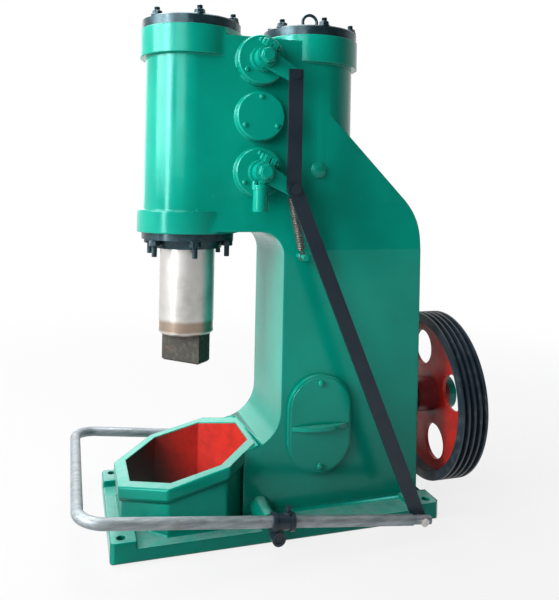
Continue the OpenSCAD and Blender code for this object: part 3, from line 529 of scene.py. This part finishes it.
def bar_finish():
    """Bare round bar: grey mill skin in two tones, drawn out along it, with brown stains."""
    f = Finish("treadle_steel")
    skin = f.span(f.noise(1.0, 5.0, 0.6, f.stretched((120.0, 14.0, 120.0))), 0.35, 0.7)
    base = f.blend(skin, (0.19, 0.22, 0.235), (0.29, 0.325, 0.345))
    rust = f.span(f.noise(15.0, 6.0, 0.65), 0.54, 0.74)
    base = f.blend(f.maths("MULTIPLY", rust, 0.4), base, (0.16, 0.115, 0.08))
    f.set(Base_Color=base, Metallic=0.7, Roughness=f.span(f.noise(48.0), 0.3, 0.7, 0.42, 0.62))
    f.bump(f.noise(340.0, 4.0), 0.15, 0.0006)
    return f.material


def pulley_finish(colours):
    """Black rim, red web and darker hub, set by the distance from the shaft's axis."""
    f = Finish("pulley_paint")
    split = f.add_split()
    z = f.maths("SUBTRACT", split.outputs["Z"], PULLEY_MID.z)
    square = f.maths("ADD", f.maths("POWER", split.outputs["X"], 2.0), f.maths("POWER", z, 2.0))
    r = f.maths("SQRT", square)
    web = f.span(r, PULLEY_R - 0.0285, PULLEY_R - 0.0265, 1.0, 0.0)
    hub = f.span(r, 0.054, 0.075, 0.55, 0.0)
    grain = f.span(f.noise(30.0, 5.0, 0.6), 0.4, 0.72)
    red = f.blend(grain, colours.red, [c * 0.7 for c in colours.red])
    dark = f.blend(f.span(f.noise(40.0, 5.0), 0.5, 0.8), colours.black, (0.034, 0.05, 0.058))
    paint = f.blend(f.maths("SUBTRACT", web, hub, True), dark, red)
    f.set(Base_Color=paint, Roughness=f.span(f.noise(20.0), 0.3, 0.7, 0.34, 0.52))
    f.bump(f.noise(230.0, 3.0), 0.18, 0.0008)
    return f.material


def spring_finish():
    """Oiled spring wire with brown patches."""
    f = Finish("spring_wire")
    rust = f.span(f.noise(75.0, 5.0), 0.45, 0.7)
    base = f.blend(f.maths("MULTIPLY", rust, 0.6), (0.2, 0.18, 0.17), (0.12, 0.06, 0.045))
    f.set(Base_Color=base, Metallic=0.8, Roughness=f.span(f.noise(120.0), 0.3, 0.7, 0.3, 0.5))
    f.bump(f.noise(700.0, 2.0), 0.1, 0.0003)
    return f.material


def finish_of(name):
    """A material made by the paint operator."""
    return bpy.data.materials[name]


COVER_NODES = ("ram_cylinder_cover", "pump_cylinder_cover", "lifting_ring", "gland_cover")
BLACK_NODES = (
    "valve_link", "treadle_link", "treadle_clamp_right", "treadle_clamp_left", "upper_link_pin",
    "lower_link_pin", "pivot_pin_right", "pivot_pin_left", "clamp_screw_right", "clamp_screw_left",
)
GREEN_NODES = (
    "upper_lever", "lower_lever", "hand_socket", "upper_valve_cover", "middle_cover",
    "lower_valve_cover", "crank_cover_upper", "crank_cover_lower", "bearing_cover",
    "upper_spindle", "lower_spindle", "wall_plug", "spring_stud", "pulley_nut",
)


class HAMMER_OT_paint(bpy.types.Operator):
    """Makes the finishes and puts one on each solid"""

    bl_idname = "hammer.paint"
    bl_label = "Paint the solids"

    def execute(self, context):
        colours = context.scene.hammer_finish
        green = green_finish(colours, "green_enamel", colours.thin_edge)
        casting = casting_finish(colours)
        black = black_finish(colours)
        covers = cover_finish()
        steel = steel_finish(colours)
        by_node = {
            "base_casting": casting,
            "frame_casting": green_finish(colours, "frame_enamel", colours.soft_edge),
            "ram": ram_finish(colours),
            "upper_die": die_finish(colours),
            "treadle_bar": bar_finish(),
            "pulley": pulley_finish(colours),
            "return_spring": spring_finish(),
        }
        for node in COVER_NODES:
            by_node[node] = covers
        for node in BLACK_NODES:
            by_node[node] = black
        for node in GREEN_NODES:
            by_node[node] = green
        for name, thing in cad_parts.items():
            thing.data.materials.clear()
            thing.data.materials.append(by_node.get(name, steel))
        return {"FINISHED"}


def surface_of(node):
    """A search tree over a solid's faces."""
    work = bmesh.new()
    work.from_mesh(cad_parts[node].data)
    tree = BVHTree.FromBMesh(work)
    work.free()
    return tree


def room_beside(edge):
    """The depth of the narrower face beside an edge: how far its points lie from the edge's line.

    A strip that bends round is as deep as twice its area over its outline.
    """
    start, end = (point.co for point in edge.verts)
    along = (end - start).normalized()
    depths = []
    for face in edge.link_faces:
        away = [point.co - start for point in face.verts]
        depths.append(max((v - along * v.dot(along)).length for v in away))
        depths.append(2 * face.calc_area() / face.calc_perimeter())
    return min(depths)


def in_well(at):
    """Whether a point lies on or inside the octagon of the well's inner walls."""
    x = abs(at.x)
    y = abs(at.y - WELL_MID_Y)
    out = max(x - WELL_HALF_W, y - WELL_HALF_L, (x + y - WELL_CORNER) * SLANT)
    return out < WELL_SLACK


def clear_ends(edge, least):
    """Whether all the other edges at both ends of an edge are longer than a length."""
    beside = (other for point in edge.verts for other in point.link_edges if other is not edge)
    return all(other.calc_length() > least for other in beside)


def takes_rounding(edge, mate, width):
    """Whether an edge is rounded.

    It is when it is sharp and long, has room beside it and at its ends, and lies off the joint
    and out of the well.
    """
    if len(edge.link_faces) != 2 or edge.calc_face_angle() <= SHARP_FROM:
        return False
    if edge.calc_length() <= SHORT_EDGE or room_beside(edge) <= NARROW:
        return False
    start, end = (point.co for point in edge.verts)
    half = (start + end) / 2
    if in_well(half) and in_well(start):
        return False
    joint = any(mate.find_nearest(at, JOINT_GAP)[0] is not None for at in (start, half, end))
    return not joint and clear_ends(edge, END_ROOM * width)


class HAMMER_OT_castings(bpy.types.Operator):
    """Rounds the free edges of the two castings, and leaves those where they meet"""

    bl_idname = "hammer.castings"
    bl_label = "Rounded castings"

    def execute(self, context):
        sizes = context.scene.hammer_fittings
        others = {"base_casting": "frame_casting", "frame_casting": "base_casting"}
        widths = {"base_casting": sizes.base_edge_r, "frame_casting": sizes.edge_r}
        for node, width in widths.items():
            mate = surface_of(others[node])
            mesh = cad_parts[node].data.copy()
            mesh.name = node + "_rounded"
            work = bmesh.new()
            work.from_mesh(mesh)
            bmesh.ops.remove_doubles(work, verts=work.verts, dist=MERGE)
            bmesh.ops.dissolve_limit(
                work, angle_limit=FLAT_BELOW, verts=work.verts, edges=work.edges
            )
            weight = work.edges.layers.float.new("bevel_weight_edge")
            for edge in work.edges:
                edge[weight] = float(takes_rounding(edge, mate, width))
            work.to_mesh(mesh)
            work.free()
            piece = bpy.data.objects.new(node + "_rounded", mesh)
            context.scene.collection.objects.link(piece)
            round_off = piece.modifiers.new("edge", "BEVEL")
            round_off.width = width
            round_off.segments = 3
            round_off.limit_method = "WEIGHT"
            even = piece.modifiers.new("even", "WEIGHTED_NORMAL")
            even.keep_sharp = True
            mesh.shade_smooth()
            mesh.set_sharp_from_angle(angle=SMOOTH_BELOW)
            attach(piece, "frame")
            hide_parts(node)
        return {"FINISHED"}


def stud_profile(r, low, high):
    """Half section of a threaded stud end: the radius swings by 0.4 mm each way along it."""
    count = 29
    swing = 0.0004
    z = np.linspace(low, high - 0.0015, count)
    wave = r - swing + swing * np.where(np.arange(count) % 2 == 0, 1.0, -1.0)
    body = np.stack([wave, z], -1)
    tip = [(r - 0.0016, high), (0.0, high)]
    return [(0.0, low)] + body.tolist() + tip


def nut_profile(r, low, thick):
    """Half section of a nut on a washer, with how much of the six flats shows at each point."""
    rim = low + 0.0022
    top = rim + thick
    points = [(0.0, low), (1.32 * r, low), (1.32 * r, rim), (r, rim), (r, rim + 0.0012),
              (r, top - 0.0014), (0.93 * r, top), (0.0, top)]
    return points, [0, 0, 0, 0.6, 1, 1, 0.2, 0]


def round_frames(axis_x, axis_y, z, radius, count, flip=False):
    """Frames on a circle about a vertical axis, each turned unevenly; flip makes them hang down."""
    uneven = 3.7
    turn = Matrix.Rotation(math.pi, 4, "X") if flip else Matrix.Identity(4)
    spots = [2 * math.pi * k / count for k in range(count)]
    return [Matrix.Translation((axis_x + radius * math.cos(a), axis_y + radius * math.sin(a), z))
            @ Matrix.Rotation(a * uneven, 4, "Z") @ turn for a in spots]


class HAMMER_OT_cover_studs(bpy.types.Operator):
    """Adds the studs and nuts on the two top covers and under the gland"""

    bl_idname = "hammer.cover_studs"
    bl_label = "Studs and nuts"

    def execute(self, context):
        sizes = context.scene.hammer_fittings
        paint = finish_of("cover_paint")
        flange = 0.027
        gland_flange = 0.019
        gland_circle = 0.112
        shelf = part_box("ram_cylinder_cover")[0].z + flange
        shape, flats = nut_profile(0.0125, 0.0, 0.011)
        nut = hexed(shape, 48, flats)
        stud = turned(stud_profile(sizes.stud_r, 0.002, sizes.stud_top), 24)
        for axis, word in ((RAM_AXIS, "ram"), (PUMP_AXIS, "pump")):
            spots = round_frames(0, axis.y, shelf, sizes.stud_circle, sizes.studs)
            nuts = placed(nut, spots)
            ends = placed(stud, spots)
            grid_piece(word + "_cover_nuts", nuts, "frame", paint)
            grid_piece(word + "_cover_stud_ends", ends, "frame", paint)
        face = GLAND_HIGH.z - gland_flange
        low = round_frames(0, RAM_AXIS.y, face, gland_circle, sizes.studs, True)
        shape, flats = nut_profile(0.0135, 0.0, 0.014)
        nuts = placed(hexed(shape, 48, flats), low)
        grid_piece("gland_nuts", nuts, "frame", paint)
        tail = turned(stud_profile(sizes.stud_r, 0.002, sizes.gland_drop), 24)
        grid_piece("gland_stud_ends", placed(tail, low), "frame", paint)
        return {"FINISHED"}


def dome_profile(r, high):
    """Half section of a domed screw head: a short skirt, then an arc of an ellipse."""
    t = np.linspace(0, math.pi / 2, 9)
    arc = np.stack([r * np.cos(t), 0.4 * high + 0.6 * high * np.sin(t)], -1)
    return [(0.0, 0.0), (r, 0.0)] + arc.tolist()


def plug_profile(r, high):
    """Half section of a cast plug head, with how much of the six flats shows at each point.

    A skirt goes up to a round shoulder, and an arc of an ellipse makes the crown.
    """
    points = [(0.0, 0.0), (r, 0.0), (r, 0.35 * high)]
    points += [(0.96 * r, 0.52 * high), (0.84 * r, 0.66 * high)]
    t = np.linspace(0.3, math.pi / 2, 8)
    crown = np.stack([0.84 * r * np.cos(t), high * (0.52 + 0.48 * np.sin(t))], -1)
    return points + crown.tolist(), [0, 0.3, 0.3, 0.6, 0.5] + [0.0] * len(t)


def outward(x, y, z, turn=0.0):
    """A frame whose Z points along +X, for fittings on the lever side."""
    faced = Matrix.Rotation(math.pi / 2, 4, "Y") @ Matrix.Rotation(turn, 4, "Z")
    return Matrix.Translation((x, y, z)) @ faced


class HAMMER_OT_side_screws(bpy.types.Operator):
    """Adds the screws on the round covers and the crank cover, and the head of the plug"""

    bl_idname = "hammer.side_screws"
    bl_label = "Side screws"

    def execute(self, context):
        sizes = context.scene.hammer_fittings
        head = turned(dome_profile(sizes.screw_r, 0.0055), 28)
        green = finish_of("green_enamel")
        starts = {"upper_valve_cover": 95, "middle_cover": 90, "lower_valve_cover": 92}
        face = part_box("middle_cover")[1].x
        for node, start in starts.items():
            at = middle(node)
            spots = []
            for k in range(3):
                a = math.radians(start + 120 * k)
                y = at.y + sizes.screw_circle * math.cos(a)
                z = at.z + sizes.screw_circle * math.sin(a)
                spots.append(outward(face, y, z))
            grid_piece(node + "_screws", placed(head, spots), "frame", green)
        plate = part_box("crank_cover_upper")
        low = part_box("crank_cover_lower")[0]
        mid_y = (plate[0].y + plate[1].y) / 2
        inset = 0.022
        heights = (plate[1].z - inset, low.z + inset)
        spots = [outward(plate[1].x, mid_y, z) for z in heights]
        big = turned(dome_profile(0.0085, 0.007), 28)
        grid_piece("crank_cover_screws", placed(big, spots), "frame", green)
        plug = middle("wall_plug")
        proud = 0.002
        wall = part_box("wall_plug")[1].x + proud - sizes.plug_h
        shape, flats = plug_profile(sizes.plug_r, sizes.plug_h)
        head = placed(hexed(shape, 48, flats), [outward(wall, plug.y, plug.z, 0.2)])
        cap = grid_piece("wall_plug_head", head, "frame", green)
        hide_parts("wall_plug")
        return {"FINISHED"}


class HAMMER_OT_lever_nuts(bpy.types.Operator):
    """Adds the nuts of the valve spindles, the levers' clamps and the socket's lugs"""

    bl_idname = "hammer.lever_nuts"
    bl_label = "Lever nuts"

    def execute(self, context):
        green = finish_of("green_enamel")
        hub_low, hub_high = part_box("upper_lever")
        shape, flats = nut_profile(0.018, 0.0, 0.0125)
        nut = hexed(shape, 48, flats)
        shape, flats = nut_profile(0.0085, 0.0, 0.008)
        small = hexed(shape, 36, flats)
        end = turned(stud_profile(0.0048, 0.004, 0.016), 18)
        lean = Matrix.Rotation(math.radians(-25), 4, "X")
        ear_half = 0.015
        ear_rise = 0.0345
        lug_rise = 0.012
        for word in ("upper", "lower"):
            body = word + "_lever"
            at = middle(word + "_spindle")
            spot = [outward(hub_high.x, at.y, at.z, 0.3)]
            grid_piece(word + "_spindle_nut", placed(nut, spot), body, green)
            hub = Matrix.Translation(((hub_low.x + hub_high.x) / 2, at.y, at.z)) @ lean
            ends = []
            for side in (-1, 1):
                ear = Matrix.Translation((0, side * ear_half, ear_rise))
                ends.append(hub @ ear @ Matrix.Rotation(-side * math.pi / 2, 4, "X"))
            grid_piece(word + "_clamp_nuts", placed(small, ends), body, green)
            grid_piece(word + "_clamp_bolt_end", placed(end, ends[1:]), body, green)
        at = middle("hand_socket")
        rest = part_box("hand_socket")[1].z
        pitch = 0.015
        shape, flats = nut_profile(0.0062, 0.0, 0.007)
        small = hexed(shape, 36, flats)
        end = turned(stud_profile(0.004, 0.004, 0.013), 18)
        top = rest + lug_rise
        over = [Matrix.Translation((at.x, at.y + side * pitch, top)) for side in (-1, 1)]
        grid_piece("socket_lug_nuts", placed(small, over), "lower_lever", green)
        grid_piece("socket_lug_bolt_ends", placed(end, over), "lower_lever", green)
        return {"FINISHED"}


def eye(at, radius, turn, over, up):
    """Points of an eye about a place: cos of the turn along one direction, sin along the other."""
    ring = np.cos(turn)[:, None] * over + np.sin(turn)[:, None] * up
    return np.array(at)[None] + radius * ring


class HAMMER_OT_spring(bpy.types.Operator):
    """Winds the return spring between the wall stud and the lower lever's pin

    The coil goes along the line between them at an even rate while it turns, and narrows at
    both ends.
    """

    bl_idname = "hammer.spring"
    bl_label = "Return spring"

    def execute(self, context):
        sizes = context.scene.hammer_fittings
        low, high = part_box("return_spring")
        x = (low.x + high.x) / 2
        pin = middle("lower_link_pin")
        stud = middle("spring_stud")
        start = Vector((x, stud.y, stud.z))
        end = Vector((x, pin.y, pin.z))
        span = (end - start).length
        up = np.array((end - start).normalized())
        side = np.array([1.0, 0.0, 0.0])
        over = np.cross(up, side)
        stud_eye_r = 0.0095
        pin_eye_r = 0.0105
        first = 0.0135
        both_ends = 0.028
        taper = 18
        tip = 0.12
        eye_low = eye(start, stud_eye_r, np.linspace(-0.5 * np.pi, 1.42 * np.pi, 26), over, up)
        eye_high = eye(end, pin_eye_r, np.linspace(-0.42 * np.pi, 1.5 * np.pi, 26), over, up)
        t = np.linspace(0, 1, 16 * sizes.spring_turns)
        turn = 2 * np.pi * sizes.spring_turns * t
        grow = np.clip(np.minimum(t, 1 - t) * taper, tip, 1)
        along = first + (span - both_ends) * t
        ring = np.cos(turn)[:, None] * over + np.sin(turn)[:, None] * side
        line = np.array(start)[None] + along[:, None] * up
        coil = line + (sizes.spring_r * grow)[:, None] * ring
        path = np.concatenate([eye_low, coil, eye_high])
        wire = grid_piece("return_spring_wire", carried(path, sizes.spring_wire, 10), None,
                          finish_of("spring_wire"))
        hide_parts("return_spring")
        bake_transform(wire)
        return {"FINISHED"}


def lamp(name, spot, target, width, height, watts):
    """An area lamp at a spot that faces a target."""
    light = bpy.data.lights.new(name, "AREA")
    light.shape = "RECTANGLE"
    light.size = width
    light.size_y = height
    light.energy = watts
    thing = bpy.data.objects.new(name, light)
    thing.location = spot
    thing.rotation_euler = (Vector(target) - Vector(spot)).to_track_quat("-Z", "Y").to_euler()
    bpy.context.scene.collection.objects.link(thing)


def camera(stage):
    """The camera of the photograph: level, rolled by a degree, with the frame shifted down."""
    data = bpy.data.cameras.new("photo_camera")
    data.sensor_fit = "AUTO"
    data.sensor_width = 36.0
    data.lens = stage.lens
    data.shift_x = SHIFT_X_PX / IMAGE_H
    data.shift_y = SHIFT_Y_PX / IMAGE_H
    thing = bpy.data.objects.new("photo_camera", data)
    ahead = Vector((-math.cos(CAMERA_HEADING), math.sin(CAMERA_HEADING), 0))
    right = Vector((math.sin(CAMERA_HEADING), math.cos(CAMERA_HEADING), 0))
    turn = Matrix((right, Vector((0, 0, 1)), -ahead)).transposed()
    spot = Matrix.Translation((CAMERA_X, RAM_AXIS.y - CAMERA_AHEAD, CAMERA_Z))
    thing.matrix_world = spot @ turn.to_4x4() @ Matrix.Rotation(CAMERA_ROLL, 4, "Z")
    bpy.context.scene.collection.objects.link(thing)
    bpy.context.scene.camera = thing


def make_floor(scene, stage):
    """A flat floor with a white glow that grows with the distance from the middle.

    Only camera, glossy and transmission rays see the glow.
    """
    t = np.linspace(-9, 9, 3)
    u, v = np.meshgrid(t, t, indexing="ij")
    points = np.stack([u, v, np.full_like(u, -0.0006)], -1).reshape(-1, 3)
    a = (np.arange(2)[:, None] * 3 + np.arange(2)[None, :]).reshape(-1)
    mesh = bpy.data.meshes.new("floor")
    mesh.from_pydata(points.tolist(), [], np.stack([a, a + 3, a + 4, a + 1], -1).tolist())
    floor = bpy.data.objects.new("floor", mesh)
    scene.collection.objects.link(floor)
    f = Finish("pale_floor")
    shade = [c * 0.97 for c in stage.floor]
    f.set(Base_Color=f.blend(f.noise(2.0), stage.floor, shade), Roughness=0.7)
    split = f.add_split()
    square = [f.maths("POWER", split.outputs[side], 2.0) for side in ("X", "Y")]
    behind = f.span(f.maths("SQRT", f.maths("ADD", *square)), 0.6, 3.4, stage.glow, 1.0)
    rays = f.add("ShaderNodeLightPath")
    seen = rays.outputs["Is Camera Ray"]
    for ray in ("Is Glossy Ray", "Is Transmission Ray"):
        seen = f.maths("MAXIMUM", seen, rays.outputs[ray])
    white = f.add("ShaderNodeEmission")
    fade = f.add("ShaderNodeMixShader")
    f.put(fade.inputs[0], f.maths("MULTIPLY", seen, behind))
    f.put(fade.inputs[1], f.shader.outputs[0])
    f.put(fade.inputs[2], white.outputs[0])
    f.put(f.tree.nodes["Material Output"].inputs["Surface"], fade.outputs[0])
    mesh.materials.append(f.material)


def make_world(scene, stage):
    """White behind everything, even light on it, and a dimmer lever side in reflections."""
    world = bpy.data.worlds.new("studio")
    world.use_nodes = True
    nodes = world.node_tree.nodes
    links = world.node_tree.links
    even = nodes["Background"]
    even.inputs["Color"].default_value = (1, 1, 1, 1)
    even.inputs["Strength"].default_value = stage.world
    white = nodes.new("ShaderNodeBackground")
    white.inputs["Color"].default_value = (1, 1, 1, 1)
    white.inputs["Strength"].default_value = 1.0
    path = nodes.new("ShaderNodeLightPath")
    heading = nodes.new("ShaderNodeSeparateXYZ")
    links.new(nodes.new("ShaderNodeTexCoord").outputs["Generated"], heading.inputs[0])
    side = nodes.new("ShaderNodeMapRange")
    side.interpolation_type = "SMOOTHSTEP"
    for socket, number in zip(side.inputs[1:5], (-0.25, 0.55, 1.0, stage.dim)):
        socket.default_value = number
    links.new(heading.outputs["X"], side.inputs[0])
    room = nodes.new("ShaderNodeBackground")
    room.inputs["Color"].default_value = (1, 1, 1, 1)
    links.new(side.outputs[0], room.inputs["Strength"])
    seen = nodes.new("ShaderNodeMath")
    seen.operation = "MAXIMUM"
    links.new(path.outputs["Is Glossy Ray"], seen.inputs[0])
    links.new(path.outputs["Is Transmission Ray"], seen.inputs[1])
    pick = nodes.new("ShaderNodeMixShader")
    links.new(seen.outputs[0], pick.inputs[0])
    links.new(even.outputs[0], pick.inputs[1])
    links.new(room.outputs[0], pick.inputs[2])
    last = nodes.new("ShaderNodeMixShader")
    links.new(path.outputs["Is Camera Ray"], last.inputs[0])
    links.new(pick.outputs[0], last.inputs[1])
    links.new(white.outputs[0], last.inputs[2])
    links.new(last.outputs[0], nodes["World Output"].inputs["Surface"])
    scene.world = world


class HAMMER_OT_stage(bpy.types.Operator):
    """Sets the floor, the light and the camera"""

    bl_idname = "hammer.stage"
    bl_label = "Stage"

    def execute(self, context):
        stage = context.scene.hammer_stage
        make_floor(context.scene, stage)
        make_world(context.scene, stage)
        lamp("front_window", (0.7, -3.4, 2.1), (0, -0.1, 0.9), 2.8, 2.2, stage.key)
        lamp("window_strip", (1.35, -3.0, 1.5), (0, -0.1, 0.9), 0.35, 2.4, stage.strip)
        lamp("back_window", (-3.0, -0.2, 1.5), (0, -0.2, 0.4), 3.6, 1.6, stage.back)
        lamp("camera_window", (2.7, -2.0, 2.0), (0, -0.2, 0.9), 1.3, 1.8, stage.fill)
        lamp("overhead", (-0.8, -0.8, 3.2), (0, -0.1, 0.3), 2.4, 2.4, stage.top)
        camera(stage)
        context.scene.view_settings.view_transform = "Standard"
        return {"FINISHED"}


class HAMMER_PT_panel(bpy.types.Panel):
    """Lists the steps and the settings"""

    bl_label = "Air forging hammer"
    bl_idname = "HAMMER_PT_panel"
    bl_space_type = "VIEW_3D"
    bl_region_type = "UI"
    bl_category = "Hammer"

    def draw(self, context):
        for step in STEPS:
            self.layout.operator(step.bl_idname)
        for group in GROUPS:
            box = self.layout.box()
            settings = getattr(context.scene, group)
            for key in settings.__annotations__:
                box.prop(settings, key)


GROUPS = {
    "hammer_finish": HammerFinish,
    "hammer_fittings": HammerFittings,
    "hammer_stage": HammerStage,
}
STEPS = (
    HAMMER_OT_stage,
    HAMMER_OT_paint,
    HAMMER_OT_castings,
    HAMMER_OT_cover_studs,
    HAMMER_OT_side_screws,
    HAMMER_OT_lever_nuts,
    HAMMER_OT_spring,
)


def register():
    """Adds the classes and their settings to Blender."""
    for made in (*GROUPS.values(), *STEPS, HAMMER_PT_panel):
        bpy.utils.register_class(made)
    for name, group in GROUPS.items():
        setattr(bpy.types.Scene, name, PointerProperty(type=group))


def unregister():
    """Takes them away again."""
    for name in GROUPS:
        delattr(bpy.types.Scene, name)
    for made in (HAMMER_PT_panel, *STEPS[::-1], *list(GROUPS.values())[::-1]):
        bpy.utils.unregister_class(made)


def main():
    """Runs every step once."""
    register()
    bpy.ops.hammer.stage()
    bpy.ops.hammer.paint()
    bpy.ops.hammer.castings()
    bpy.ops.hammer.cover_studs()
    bpy.ops.hammer.side_screws()
    bpy.ops.hammer.lever_nuts()
    bpy.ops.hammer.spring()


if __name__ == "__main__":
    main()
